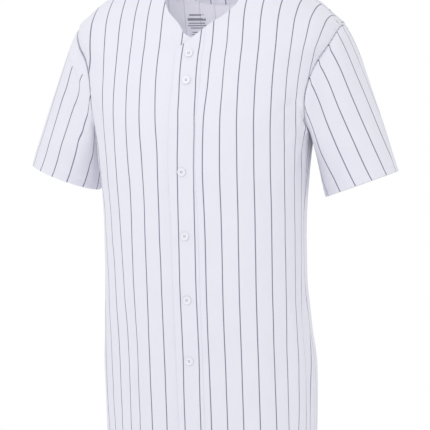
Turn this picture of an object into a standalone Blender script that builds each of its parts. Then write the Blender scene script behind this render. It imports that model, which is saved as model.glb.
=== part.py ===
# Baseball jersey with short sleeves, buttoned down the front, filled out as if worn.
# Metres, +Z up. The wearer faces -Y and their left side is +X. The origin lies between the two
# shoulder points of the neck, where the garment hangs from the wearer.

import math
from collections import namedtuple

import bmesh
import bpy
import numpy as np
from mathutils import Matrix, Vector

for old in list(bpy.data.objects):
    bpy.data.objects.remove(old)

CLOTH_COLOUR = (0.86, 0.87, 0.91)
BUTTON_COLOUR = (0.88, 0.88, 0.88)
MIRROR = np.array([-1.0, 1.0, 1.0])

# Lengths and heights
HEM_SIDE_Z = -0.806
HEM_CENTRE_Z = -0.832
UNDERARM_Z = -0.262
YOKE_Z = -0.150
TORSO_SQUARE = 2.6
SIDE_U = 0.257

# Cloth
WALL = 0.0016
SEAM_GAP = 0.0003
LAYER_OUT = 0.0013
LAYER_FADE_START = 0.0235
LAYER_FADE_END = 0.0450

# Neck and button placket
PLACKET_HALF = 0.0235
NECK_HALF = 0.078
BACK_NECK_DROP = 0.022
BACK_NECK_POWER = 3.0
UNDERLAP_SLOPE = 0.80
FACING_WALL = 0.0012
FACING_SHARE = 0.42
SHOULDER_U = 0.245

# Sleeves
SLEEVE_HALF_GIRTH = 0.200
CUFF_HALF_WIDTH = 0.0660
CUFF_HALF_DEPTH = 0.0540
UNDERARM_CLEAR = 0.0030

# Which way the sleeve leaves the armhole, out and down the arm, at its top line and at the underarm
LEAVE_OUT_TOP = 0.50
LEAVE_OUT_UNDER = 0.32
LEAVE_DOWN_TOP = 0.70
LEAVE_DOWN_UNDER = 0.90
LEAVE_PULL = 0.34
ARRIVE_PULL = 0.90

# Buttons
BUTTON_RADIUS = 0.0071
BUTTON_THICK = 0.0026
BUTTON_RIM = 0.0016
BUTTON_DISH = 0.0006
HOLE_RADIUS = 0.0009
HOLE_OFFSET = 0.0016
BUTTON_CLEAR = 0.0002
BUTTON_Z = (-0.1330, -0.1765, -0.3285, -0.4370, -0.5465, -0.6525)

# Grid of each piece
SIDE_ROWS = 20
ARMHOLE_ROWS = 14
NECK_ROWS = 8
FRONT_COLUMNS = 12
BACK_COLUMNS = 26
PLACKET_COLUMNS = 3
SLEEVE_ROWS = 12
FACING_ROWS = 1
ROWS = SIDE_ROWS + ARMHOLE_ROWS

Section = namedtuple("Section", "z half_width front back centre_y")
TORSO = (
    Section(-0.840, 0.1870, 0.1080, 0.1180, 0.0160),
    Section(-0.760, 0.1875, 0.1115, 0.1190, 0.0130),
    Section(-0.680, 0.1870, 0.1150, 0.1180, 0.0075),
    Section(-0.600, 0.1812, 0.1135, 0.1120, -0.0040),
    Section(-0.500, 0.1765, 0.1105, 0.1080, -0.0180),
    Section(-0.420, 0.1762, 0.1135, 0.1090, -0.0225),
    Section(-0.340, 0.1795, 0.1225, 0.1140, -0.0225),
    Section(-0.262, 0.1880, 0.1305, 0.1180, -0.0200),
    Section(-0.205, 0.2030, 0.1400, 0.1130, -0.0070),
    Section(-0.170, 0.2090, 0.1425, 0.1060, 0.0020),
    Section(-0.140, 0.2190, 0.1400, 0.0980, 0.0095),
    Section(-0.117, 0.2340, 0.1345, 0.0890, 0.0150),
    Section(-0.099, 0.2380, 0.1305, 0.0790, 0.0175),
    Section(-0.084, 0.2360, 0.1260, 0.0710, 0.0190),
    Section(-0.0635, 0.2150, 0.1165, 0.0650, 0.0190),
    Section(-0.044, 0.1905, 0.1030, 0.0600, 0.0190),
    Section(-0.0245, 0.1555, 0.0880, 0.0555, 0.0160),
    Section(-0.010, 0.1205, 0.0730, 0.0520, 0.0100),
    Section(0.000, 0.0785, 0.0600, 0.0500, 0.0040),
    Section(0.012, 0.0105, 0.0440, 0.0450, 0.0000),
)

ShoulderPoint = namedtuple("ShoulderPoint", "u x z")
SHOULDER = (
    ShoulderPoint(0.000, 0.0000, 0.0120),
    ShoulderPoint(0.040, 0.0400, 0.0080),
    ShoulderPoint(0.078, 0.0780, 0.0000),
    ShoulderPoint(0.119, 0.1200, -0.0100),
    ShoulderPoint(0.153, 0.1550, -0.0245),
    ShoulderPoint(0.189, 0.1900, -0.0440),
    ShoulderPoint(0.217, 0.2145, -0.0635),
    ShoulderPoint(0.245, 0.2355, -0.0840),
)

# The neck opening sits a little towards the wearer's left
NeckPoint = namedtuple("NeckPoint", "z left_x right_x")
NECKLINE = (
    NeckPoint(-0.1065, 0.0000, 0.0000),
    NeckPoint(-0.0980, 0.0105, 0.0150),
    NeckPoint(-0.0900, 0.0200, 0.0210),
    NeckPoint(-0.0770, 0.0365, 0.0300),
    NeckPoint(-0.0630, 0.0590, 0.0405),
    NeckPoint(-0.0430, 0.0750, 0.0530),
    NeckPoint(-0.0200, 0.0775, 0.0675),
    NeckPoint(0.0000, 0.0780, 0.0780),
)

# How far the upper end of the placket leans to the wearer's left
Lean = namedtuple("Lean", "z shift")
LEANS = (
    Lean(-0.4400, 0.0000),
    Lean(-0.3300, -0.0018),
    Lean(-0.2400, 0.0010),
    Lean(-0.1765, 0.0055),
    Lean(-0.1330, 0.0052),
    Lean(-0.1000, 0.0058),
    Lean(-0.0500, 0.0060),
    Lean(0.0120, 0.0000),
)
LEAN_RIGHT_END = -0.042
LEAN_RIGHT_FULL = -0.024
LEAN_LEFT_FULL = 0.035
LEAN_LEFT_END = 0.090

ArmholePoint = namedtuple("ArmholePoint", "z front_x back_x")
ARMHOLE = (
    ArmholePoint(-0.262, 0.1880, 0.1880),
    ArmholePoint(-0.250, 0.1875, 0.1875),
    ArmholePoint(-0.231, 0.1880, 0.1890),
    ArmholePoint(-0.200, 0.1900, 0.1930),
    ArmholePoint(-0.170, 0.1960, 0.1990),
    ArmholePoint(-0.140, 0.2080, 0.2085),
    ArmholePoint(-0.117, 0.2225, 0.2200),
    ArmholePoint(-0.098, 0.2310, 0.2305),
    ArmholePoint(-0.084, 0.2355, 0.2355),
)

# How far round the sleeve (0 top line, 1 underarm) a point of the armhole lies
CapPoint = namedtuple("CapPoint", "along round")
SLEEVE_CAP = (
    CapPoint(0.00, 0.00),
    CapPoint(0.15, 0.18),
    CapPoint(0.35, 0.41),
    CapPoint(0.55, 0.60),
    CapPoint(0.75, 0.77),
    CapPoint(1.00, 1.00),
)

# Cuff centre, and how far the sleeve leans out from straight down
Cuff = namedtuple("Cuff", "x y z lean")
CUFFS = {
    "left": Cuff(0.2685, 0.0200, -0.3545, math.radians(20.5)),
    "right": Cuff(-0.2745, 0.0200, -0.3515, math.radians(19.5)),
}

# Broad folds, as lines over the pattern: where they run, half width and how far they stand out
Fold = namedtuple("Fold", "panel u0 z0 u1 z1 width height")
BROAD_FOLDS = (
    Fold("front", 0.205, -0.520, 0.215, -0.830, 0.020, 0.0030),
    Fold("front", 0.170, -0.560, 0.172, -0.840, 0.018, -0.0022),
    Fold("front", -0.160, -0.480, -0.150, -0.830, 0.022, 0.0030),
    Fold("front", -0.115, -0.520, -0.110, -0.840, 0.020, -0.0025),
    Fold("front", 0.110, -0.600, 0.105, -0.840, 0.026, 0.0018),
    Fold("back", -0.150, -0.330, -0.120, -0.830, 0.030, 0.0035),
    Fold("back", 0.140, -0.300, 0.120, -0.830, 0.030, 0.0035),
    Fold("back", 0.020, -0.400, 0.010, -0.840, 0.034, -0.0030),
    Fold("back", -0.070, -0.480, -0.065, -0.840, 0.026, -0.0020),
    Fold("back", 0.070, -0.470, 0.075, -0.840, 0.026, 0.0020),
    Fold("back", -0.120, -0.180, 0.120, -0.190, 0.024, 0.0020),
)


def smooth(rows, by, what, x):
    """Monotone cubic through the named columns of a table."""
    xs = np.array([getattr(row, by) for row in rows])
    ys = np.array([getattr(row, what) for row in rows])
    gaps = np.diff(xs)
    rise = np.diff(ys) / gaps
    slope = np.zeros(len(xs))
    slope[0] = rise[0]
    slope[-1] = rise[-1]
    for i in range(1, len(xs) - 1):
        if rise[i - 1] * rise[i] > 0:
            before = 2 * gaps[i] + gaps[i - 1]
            after = gaps[i] + 2 * gaps[i - 1]
            slope[i] = (before + after) / (before / rise[i - 1] + after / rise[i])
    i = np.clip(np.searchsorted(xs, x) - 1, 0, len(xs) - 2)
    t = np.clip((x - xs[i]) / gaps[i], 0, 1)
    start = (1 + 2 * t) * (1 - t) ** 2 * ys[i] + t * (1 - t) ** 2 * gaps[i] * slope[i]
    end = t * t * (3 - 2 * t) * ys[i + 1] + t * t * (t - 1) * gaps[i] * slope[i + 1]
    return start + end


def step(t):
    t = np.clip(t, 0, 1)
    return t * t * (3 - 2 * t)


def section_at(z, back):
    half = smooth(TORSO, "z", "half_width", z)
    depth = smooth(TORSO, "z", "back" if back else "front", z)
    return half, depth, smooth(TORSO, "z", "centre_y", z)


def reach(angle, half, depth):
    """Distance from the section's centre, at an angle from its centre line."""
    across = np.abs(np.sin(angle) / half) ** TORSO_SQUARE
    along = np.abs(np.cos(angle) / depth) ** TORSO_SQUARE
    return (across + along) ** (-1 / TORSO_SQUARE)


ARC_STEPS = 72
ARC_END = 0.56 * math.pi


def arc_table(half, depth):
    angles = np.linspace(0, ARC_END, ARC_STEPS)
    r = reach(angles[None, :], half[:, None], depth[:, None])
    x = r * np.sin(angles)
    y = r * np.cos(angles)
    parts = np.hypot(np.diff(x), np.diff(y))
    return angles, np.concatenate([np.zeros((len(half), 1)), np.cumsum(parts, 1)], 1)


def x_on_section(u, z, back):
    """X of the cloth u metres round the section from the centre line."""
    u, z = np.broadcast_arrays(np.asarray(u, float), np.asarray(z, float))
    flat_u = u.ravel()
    half, depth, _ = section_at(z.ravel(), back)
    angles, run = arc_table(half, depth)
    k = np.clip((run < flat_u[:, None]).sum(1) - 1, 0, ARC_STEPS - 2)
    i = np.arange(len(flat_u))
    part = (flat_u - run[i, k]) / (run[i, k + 1] - run[i, k])
    angle = angles[k] + part * (angles[1] - angles[0])
    angle = np.minimum(angle, math.pi / 2)
    return (reach(angle, half, depth) * np.sin(angle)).reshape(u.shape)


def side_u(z, back):
    """Distance from the centre line to the side seam at height z."""
    z = np.atleast_1d(np.asarray(z, float))
    half, depth, _ = section_at(z, back)
    angles = np.linspace(0, math.pi / 2, 200)
    r = reach(angles[None, :], half[:, None], depth[:, None])
    return np.hypot(np.diff(r * np.sin(angles)), np.diff(r * np.cos(angles))).sum(1)


def hem_z(u):
    part = np.clip(np.abs(u) / SIDE_U, 0, 1) ** 2
    return HEM_CENTRE_Z + (HEM_SIDE_Z - HEM_CENTRE_Z) * part


def height(u, v):
    """Level v runs 0 at the hem, 1 at the yoke line, 2 at the shoulder seam."""
    low = hem_z(u) + (YOKE_Z - hem_z(u)) * np.clip(v, 0, 1)
    top = smooth(SHOULDER, "u", "z", np.abs(u))
    rise = np.sin(math.pi / 2 * np.clip(v - 1, 0, 1))
    return np.where(v <= 1, low, YOKE_Z + (top - YOKE_Z) * rise)


def level(u, z):
    low = (z - hem_z(u)) / (YOKE_Z - hem_z(u))
    top = smooth(SHOULDER, "u", "z", np.abs(u))
    high = 1 + np.arcsin(np.clip((z - YOKE_Z) / (top - YOKE_Z), 0, 1)) * 2 / math.pi
    return np.where(z <= YOKE_Z, low, high)


def x_at(u, z, back):
    """X at distance u from the centre line and height z: on the section up to the yoke, then in to the shoulder."""
    w, z = np.broadcast_arrays(np.abs(u), np.asarray(z, float))
    on_section = x_on_section(w, np.minimum(z, YOKE_Z), back)
    yoke = np.full(w.shape, YOKE_Z)
    near = 0.004
    x0 = x_on_section(w, yoke, back)
    lean = (x0 - x_on_section(w, yoke - near, back)) / near
    x1 = smooth(SHOULDER, "u", "x", w)
    rise = smooth(SHOULDER, "u", "z", w) - YOKE_Z
    t = np.clip((z - YOKE_Z) / rise, 0, 1)
    x = (1 + 2 * t) * (1 - t) ** 2 * x0 + t * (1 - t) ** 2 * lean * rise
    x = x + t * t * (3 - 2 * t) * x1 + t * t * (t - 1) * (x1 - x0)
    return np.where(z <= YOKE_Z, on_section, x)


def u_at(x, z, back):
    """Distance from the centre line of the cloth found at x and height z."""
    low = np.zeros(np.shape(x))
    high = np.full(np.shape(x), 0.29)
    for _ in range(40):
        middle = (low + high) / 2
        past = x_at(middle, z, back) > x
        high = np.where(past, middle, high)
        low = np.where(past, low, middle)
    return (low + high) / 2


def leaning(u, v, sign):
    """How far the front's cloth lies out of the straight near the placket, as seen on the side of the sign."""
    toward_left = u * sign
    right_end = step((toward_left - LEAN_RIGHT_END) / (LEAN_RIGHT_FULL - LEAN_RIGHT_END))
    left_end = 1 - step((toward_left - LEAN_LEFT_FULL) / (LEAN_LEFT_END - LEAN_LEFT_FULL))
    return smooth(LEANS, "z", "shift", height(u, v)) * right_end * left_end * sign


def torso(u, v, back, sign=1):
    """Middle of the torso cloth, before folds."""
    u, v = np.broadcast_arrays(np.asarray(u, float), np.asarray(v, float))
    z = height(u, v)
    if not back:
        u = u + leaning(u, v, sign)
    half, depth, centre_y = section_at(z, back)
    x = np.minimum(x_at(u, z, back), half)
    ratio = np.where(v >= 2, 1.0, np.clip(x / half, 0, 1))
    y = depth * (1 - ratio ** TORSO_SQUARE) ** (1 / TORSO_SQUARE)
    side = np.where(u < 0, -1.0, 1.0)
    return np.stack([side * x, centre_y + (y if back else -y), z], -1)


def torso_normal(u, v, back, sign=1):
    du = 0.0005
    dv = 0.004
    along = torso(u + du, v, back, sign) - torso(u - du, v, back, sign)
    up = torso(u, np.minimum(v + dv, 2), back, sign) - torso(u, v - dv, back, sign)
    normal = np.cross(up, along) if back else np.cross(along, up)
    return normal / np.linalg.norm(normal, axis=-1, keepdims=True)


def swell(u, z, back):
    """How far the broad folds stand out from the smooth form, negative in a trough."""
    total = np.zeros(np.shape(u))
    for fold in BROAD_FOLDS:
        if (fold.panel == "back") != back:
            continue
        run = np.array([fold.u1 - fold.u0, fold.z1 - fold.z0])
        size = np.hypot(*run)
        along = ((u - fold.u0) * run[0] + (z - fold.z0) * run[1]) / size ** 2
        aside = ((u - fold.u0) * run[1] - (z - fold.z0) * run[0]) / size
        ends = np.exp(-4.0 * np.clip(np.abs(along - 0.5) - 0.2, 0, None) ** 2 / 0.09)
        total = total + fold.height * ends * np.exp(-((aside / fold.width) ** 2))
    return total


def cloth(u, v, back, sign=1):
    """Middle of the torso cloth with its broad folds, and its outward normal. Sign -1 folds as the right side does."""
    normal = torso_normal(u, v, back, sign)
    points = torso(u, v, back, sign)
    points = points + normal * swell(u * sign, height(u, v), back)[..., None]
    return points, normal


def evenly(points, count):
    """Fractional places that split a dense line into equal lengths."""
    run = np.concatenate([[0], np.cumsum(np.linalg.norm(np.diff(points, axis=0), axis=1))])
    return np.interp(np.linspace(0, run[-1], count + 1), run, np.arange(len(points)))


def spread(values, places):
    return np.interp(places, np.arange(len(values)), values)


DENSE = 160


def armhole_line(back):
    """(u, v) of the armhole seam from the underarm to the shoulder tip."""
    z = np.linspace(UNDERARM_Z, ARMHOLE[-1].z, DENSE)
    u = u_at(smooth(ARMHOLE, "z", "back_x" if back else "front_x", z), z, back)
    u[0] = side_u(UNDERARM_Z, back)[0]
    u[-1] = SHOULDER_U
    v = level(u, z)
    v[-1] = 2.0
    places = evenly(torso(u, v, back), ARMHOLE_ROWS)
    return spread(u, places), spread(v, places)


def side_line(back):
    """(u, v) of the side seam from the hem to just under the armhole."""
    z = np.linspace(HEM_SIDE_Z, UNDERARM_Z, SIDE_ROWS + 1)[:-1]
    u = side_u(z, back)
    return u, level(u, z)


def side_points(z):
    half, _, centre_y = section_at(z, False)
    return np.stack([half, centre_y, z], -1)


def neck_line(start_u, sign=1):
    """(u, v) of the front neckline from the centre edge at start_u up to the shoulder."""
    z = np.linspace(NECKLINE[0].z, 0, DENSE)
    u = u_at(smooth(NECKLINE, "z", "left_x" if sign > 0 else "right_x", z), z, False)
    if start_u < 0:
        under = np.linspace(start_u, 0, 20)[:-1]
        u = np.concatenate([under, u])
        z = np.concatenate([NECKLINE[0].z + UNDERLAP_SLOPE * under, z])
    else:
        z = np.concatenate([[np.interp(start_u, u, z)], z[u > start_u]])
        u = np.concatenate([[start_u], u[u > start_u]])
    v = level(u, z)
    v[-1] = 2.0
    u[-1] = NECK_HALF
    places = evenly(torso(u, v, False, sign), NECK_ROWS)
    return spread(u, places), spread(v, places)


def pulled_in(points, row=None, column=None):
    """One edge of a grid moved inwards by half the seam gap."""
    points = points.copy()
    if row is not None:
        near = points[1 if row == 0 else -2]
        edge = points[row]
    else:
        near = points[:, 1 if column == 0 else -2]
        edge = points[:, column]
    inward = near - edge
    inward = inward / np.linalg.norm(inward, axis=-1, keepdims=True)
    if row is not None:
        points[row] = edge + inward * SEAM_GAP / 2
    else:
        points[:, column] = edge + inward * SEAM_GAP / 2
    return points


def layer_shift(u):
    """1 where the two fronts lie on each other, fading to 0 beside the placket."""
    return 1 - step((u - LAYER_FADE_START) / (LAYER_FADE_END - LAYER_FADE_START))


def front_grid(start_u, out, sign=1):
    """A front as worn on the left: rows up, columns from the centre out, its normals, u and z."""
    neck_u, neck_v = neck_line(start_u, sign)
    low = np.linspace(0, 1, ROWS - NECK_ROWS + 1)[:-1] * neck_v[0]
    left_u = np.concatenate([np.full(len(low), start_u), neck_u])
    left_v = np.concatenate([low, neck_v])
    side, side_v = side_line(False)
    arm_u, arm_v = armhole_line(False)
    right_u = np.concatenate([side, arm_u])
    right_v = np.concatenate([side_v, arm_v])
    part = np.linspace(0, 1, FRONT_COLUMNS + 1)
    u = left_u[:, None] + (right_u - left_u)[:, None] * part
    v = left_v[:, None] + (right_v - left_v)[:, None] * part
    points, normals = cloth(u, v, False, sign)
    z = np.concatenate([height(side, side_v), [UNDERARM_Z]])
    points[: SIDE_ROWS + 1, -1] = side_points(z)
    points = points + normals * (out * layer_shift(u))[..., None]
    points = pulled_in(points, column=-1)
    points = pulled_in(points, row=-1)
    if start_u > 0:
        points = pulled_in(points, column=0)
    return points, normals, u, height(u, v)


def placket_grid():
    u = np.linspace(-PLACKET_HALF, PLACKET_HALF, PLACKET_COLUMNS + 1)
    neck_u, neck_v = neck_line(-PLACKET_HALF)
    top = height(u, np.interp(u, neck_u, neck_v))
    part = np.linspace(0, 1, ROWS - NECK_ROWS + 1)[:, None]
    z = hem_z(u) + (top - hem_z(u)) * part
    u = np.broadcast_to(u, z.shape)
    v = level(u, z)
    points, normals = cloth(u, v, False)
    points = points + normals * LAYER_OUT
    return pulled_in(points, column=-1), normals, u, height(u, v)


def back_grid():
    side, side_v = side_line(True)
    arm_u, arm_v = armhole_line(True)
    edge_u = np.concatenate([side, arm_u])
    edge_v = np.concatenate([side_v, arm_v])
    part = np.linspace(-1, 1, BACK_COLUMNS + 1)
    neck = np.abs(part) * SHOULDER_U < NECK_HALF
    top_u = part * SHOULDER_U
    drop = BACK_NECK_DROP * (1 - np.clip(np.abs(top_u) / NECK_HALF, 0, 1) ** BACK_NECK_POWER)
    top_v = np.where(neck, level(top_u, -drop), 2.0)
    u = edge_u[:, None] * part
    rows = np.linspace(0, 1, ROWS + 1)[:, None]
    v = edge_v[:, None] + (top_v - 2)[None, :] * step(rows) ** 2
    points, normals = cloth(u, v, True)
    z = np.concatenate([height(side, side_v), [UNDERARM_Z]])
    seam = side_points(z)
    points[: SIDE_ROWS + 1, -1] = seam
    points[: SIDE_ROWS + 1, 0] = seam * [-1, 1, 1]
    points = pulled_in(points, column=-1)
    points = pulled_in(points, column=0)
    points = pulled_in(points, row=-1)
    # One more row, where the facing ends. At the armholes it lies straight between its neighbours
    low_v = v[-2] + (v[-1] - v[-2]) * FACING_SHARE
    low_u = u[-2] + (u[-1] - u[-2]) * FACING_SHARE
    on_cloth, low_normals = cloth(low_u, low_v, True)
    straight = points[-2] + (points[-1] - points[-2]) * FACING_SHARE
    beside = step((np.abs(low_u) - NECK_HALF) / (SHOULDER_U - NECK_HALF))[:, None]
    low = on_cloth + (straight - on_cloth) * beside
    points = np.insert(points, -1, low, axis=0)
    normals = np.insert(normals, -1, low_normals, axis=0)
    u = np.insert(u, -1, low_u, axis=0)
    v = np.insert(v, -1, low_v, axis=0)
    return points, normals, u, height(u, v)


def facing_grid():
    """Band inside the back neck, made from the back's own points and moved in."""
    points, normals, u, _ = back_grid()
    inside = np.abs(u[-1]) < NECK_HALF
    points = points[-1 - FACING_ROWS :, inside]
    normals = normals[-1 - FACING_ROWS :, inside]
    points = points - normals * (WALL / 2 + SEAM_GAP + FACING_WALL / 2)
    return pulled_in(points, row=-1), normals


def armhole_loop(side):
    """Armhole points from the underarm up the front to the tip and down the back, with their cloth normals."""
    rows = []
    for back in (False, True):
        u, v = armhole_line(back)
        points, normals = cloth(u, v, back)
        points[0] = side_points(np.array(UNDERARM_Z))
        rows.append((points, normals))
    front, back = rows
    points = np.concatenate([front[0], back[0][-2:0:-1]])
    normals = np.concatenate([front[1], back[1][-2:0:-1]])
    normals[0] = front[1][0] + back[1][0]
    normals[ARMHOLE_ROWS] = front[1][-1] + back[1][-1]
    normals = normals / np.linalg.norm(normals, axis=1, keepdims=True)
    mirror = np.array([1.0 if side == "left" else -1.0, 1.0, 1.0])
    return points * mirror, normals * mirror


def sleeve_grid(side):
    """Rows from the armhole to the cuff, columns round from the underarm by the front. Not closed in columns."""
    sign = 1.0 if side == "left" else -1.0
    start, normals = armhole_loop(side)
    # Share of the way round from the top line: 0 at the tip, 1 at the underarm
    ahead = np.roll(start, -1, axis=0)
    run = np.concatenate([[0], np.cumsum(np.linalg.norm(ahead - start, axis=1))])
    tip = run[ARMHOLE_ROWS]
    front = np.arange(len(start)) <= ARMHOLE_ROWS
    along = np.where(front, 1 - run[:-1] / tip, (run[:-1] - tip) / (run[-1] - tip))
    rounded = smooth(SLEEVE_CAP, "along", "round", along)
    cuff = CUFFS[side]
    outward = np.array([math.cos(cuff.lean) * sign, 0, math.sin(cuff.lean)])
    axis = np.array([math.sin(cuff.lean) * sign, 0, -math.cos(cuff.lean)])
    angle = cuff_angle(rounded) * np.where(front, -1, 1)
    end = np.array([cuff.x, cuff.y, cuff.z]) + np.outer(np.cos(angle) * CUFF_HALF_WIDTH, outward)
    end = end + np.outer(np.sin(angle) * CUFF_HALF_DEPTH, [0, 1, 0])
    # Leaves the armhole on the slope of the shoulder, and more down the arm at the underarm
    under = step((along - 0.35) / 0.6)[:, None]
    out = LEAVE_OUT_TOP + (LEAVE_OUT_UNDER - LEAVE_OUT_TOP) * under
    down = LEAVE_DOWN_TOP + (LEAVE_DOWN_UNDER - LEAVE_DOWN_TOP) * under
    leave = np.array([sign, 0, 0]) * out + axis * down
    leave = leave / np.linalg.norm(leave, axis=1, keepdims=True)
    facing = np.clip((leave * normals).sum(1), 0, 1)[:, None]
    begin = start + leave * (SEAM_GAP + UNDERARM_CLEAR * facing)
    reach_out = np.linalg.norm(end - begin, axis=1, keepdims=True)
    t = np.linspace(0, 1, SLEEVE_ROWS + 1)[:, None, None]
    grid = (1 + 2 * t) * (1 - t) ** 2 * begin + t * (1 - t) ** 2 * reach_out * leave * LEAVE_PULL
    return grid + t * t * (3 - 2 * t) * end + t * t * (t - 1) * reach_out * axis * ARRIVE_PULL


def cuff_angle(share):
    """Angle round the cuff's ellipse at a share of the way from its top to its underside."""
    angles = np.linspace(0, math.pi, 181)
    x = np.cos(angles) * CUFF_HALF_WIDTH
    y = np.sin(angles) * CUFF_HALF_DEPTH
    run = np.concatenate([[0], np.cumsum(np.hypot(np.diff(x), np.diff(y)))])
    return np.interp(share, run / run[-1], angles)


def tube_normals(grid):
    along = np.gradient(grid, axis=0)
    around = np.roll(grid, -1, axis=1) - np.roll(grid, 1, axis=1)
    normals = np.cross(along, around)
    normals = normals / np.linalg.norm(normals, axis=-1, keepdims=True)
    centre = grid.mean(axis=1, keepdims=True)
    if ((grid - centre) * normals).sum() < 0:
        normals = -normals
    return normals


def shell_mesh(name, points, normals, wall, colour, wraps=False):
    """Cloth of even thickness over a grid of points, closed along its edges."""
    rows, columns = points.shape[:2]
    outer = (points + normals * wall / 2).reshape(-1, 3)
    inner = (points - normals * wall / 2).reshape(-1, 3)
    below = rows * columns
    faces = []
    last = columns if wraps else columns - 1
    for i in range(rows - 1):
        for j in range(last):
            k = (j + 1) % columns
            quad = (i * columns + j, i * columns + k, (i + 1) * columns + k, (i + 1) * columns + j)
            faces.append(quad)
            faces.append(tuple(below + c for c in reversed(quad)))
    rim = [(j, (j + 1) % columns) for j in range(last)]
    top = (rows - 1) * columns
    rim += [(top + (j + 1) % columns, top + j) for j in range(last)]
    if not wraps:
        rim += [((i + 1) * columns, i * columns) for i in range(rows - 1)]
        rim += [((i + 1) * columns - 1, (i + 2) * columns - 1) for i in range(rows - 1)]
    for a, b in rim:
        faces.append((b, a, below + a, below + b))
    return add_object(name, np.concatenate([outer, inner]), faces, colour)


def material_of(name, colour, roughness):
    material = bpy.data.materials.new(name)
    material.use_nodes = True
    shader = material.node_tree.nodes["Principled BSDF"]
    shader.inputs["Base Color"].default_value = (*colour, 1)
    shader.inputs["Roughness"].default_value = roughness
    return material


def add_object(name, points, faces, colour, roughness=0.85):
    mesh = bpy.data.meshes.new(name)
    mesh.from_pydata([tuple(float(c) for c in p) for p in points], [], faces)
    work = bmesh.new()
    work.from_mesh(mesh)
    bmesh.ops.triangulate(work, faces=work.faces, quad_method="SHORT_EDGE")
    bmesh.ops.recalc_face_normals(work, faces=work.faces)
    if work.calc_volume(signed=True) < 0:
        bmesh.ops.reverse_faces(work, faces=work.faces)
    work.to_mesh(mesh)
    work.free()
    mesh.materials.append(material_of(name, colour, roughness))
    obj = bpy.data.objects.new(name, mesh)
    bpy.context.scene.collection.objects.link(obj)
    return obj


def turned(profile, around):
    """Points and faces of a profile of (radius, height) turned about Z, closed at both ends on the axis."""
    points = []
    faces = []
    for r, z in profile[1:-1]:
        for k in range(around):
            angle = 2 * math.pi * k / around
            points.append((r * math.cos(angle), r * math.sin(angle), z))
    bottom = len(points)
    points.append((0, 0, profile[0][1]))
    points.append((0, 0, profile[-1][1]))
    rings = len(profile) - 2
    for k in range(around):
        n = (k + 1) % around
        faces.append((bottom, n, k))
        for i in range(rings - 1):
            a = i * around
            b = a + around
            faces.append((a + k, a + n, b + n, b + k))
        end = (rings - 1) * around
        faces.append((end + k, end + n, bottom + 1))
    return points, faces


def button(name, z):
    """Four-hole button standing on the placket at height z."""
    rim = BUTTON_RADIUS - BUTTON_RIM
    profile = (
        (0, 0),
        (BUTTON_RADIUS - 0.0007, 0),
        (BUTTON_RADIUS, 0.0007),
        (BUTTON_RADIUS, BUTTON_THICK - 0.0006),
        (BUTTON_RADIUS - 0.0006, BUTTON_THICK),
        (rim, BUTTON_THICK),
        (rim - 0.0007, BUTTON_THICK - BUTTON_DISH),
        (0, BUTTON_THICK - BUTTON_DISH),
    )
    points, faces = turned(profile, 20)
    disc = add_object(name, points, faces, BUTTON_COLOUR, 0.35)
    holes = bmesh.new()
    for k in range(4):
        angle = math.pi / 4 + k * math.pi / 2
        place = Vector((math.cos(angle), math.sin(angle), 0)) * HOLE_OFFSET
        place.z = BUTTON_THICK / 2
        bmesh.ops.create_cone(
            holes,
            cap_ends=True,
            segments=8,
            radius1=HOLE_RADIUS,
            radius2=HOLE_RADIUS,
            depth=3 * BUTTON_THICK,
            matrix=Matrix.Translation(place),
        )
    cutter_mesh = bpy.data.meshes.new(name + "_holes")
    holes.to_mesh(cutter_mesh)
    holes.free()
    cutter = bpy.data.objects.new(name + "_holes", cutter_mesh)
    bpy.context.scene.collection.objects.link(cutter)
    cutter.hide_render = True
    cut = disc.modifiers.new("holes", "BOOLEAN")
    cut.operation = "DIFFERENCE"
    cut.solver = "EXACT"
    cut.object = cutter
    place, normal = cloth(np.array(0.0), level(0.0, z), False)
    stand = LAYER_OUT + WALL / 2 + BUTTON_CLEAR
    face = Vector(normal).normalized()
    turn = face.to_track_quat("Z", "X").to_matrix().to_4x4()
    where = Matrix.Translation(Vector(place) + face * stand) @ turn
    disc.matrix_world = where
    cutter.matrix_world = where


# Building in Blender
points, normals, _, _ = front_grid(PLACKET_HALF, LAYER_OUT)
shell_mesh("front_left", points, normals, WALL, CLOTH_COLOUR)
points, normals, _, _ = placket_grid()
shell_mesh("placket", points, normals, WALL, CLOTH_COLOUR)
points, normals, _, _ = front_grid(-PLACKET_HALF, -LAYER_OUT, -1)
shell_mesh("front_right", points * MIRROR, normals * MIRROR, WALL, CLOTH_COLOUR)
points, normals, _, _ = back_grid()
shell_mesh("back", points, normals, WALL, CLOTH_COLOUR)
points, normals = facing_grid()
shell_mesh("back_neck_facing", points, normals, FACING_WALL, CLOTH_COLOUR)
for side in CUFFS:
    points = sleeve_grid(side)
    shell_mesh("sleeve_" + side, points, tube_normals(points), WALL, CLOTH_COLOUR, wraps=True)
for number, z in enumerate(BUTTON_Z, 1):
    button("button_%d" % number, z)
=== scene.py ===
# Looks of the baseball jersey: finer cloth on the form of its solids, pinstripes, seams, stitching,
# buttons, light and camera. Metres, +Z up, the wearer faces -Y.

import math
from collections import namedtuple

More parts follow.
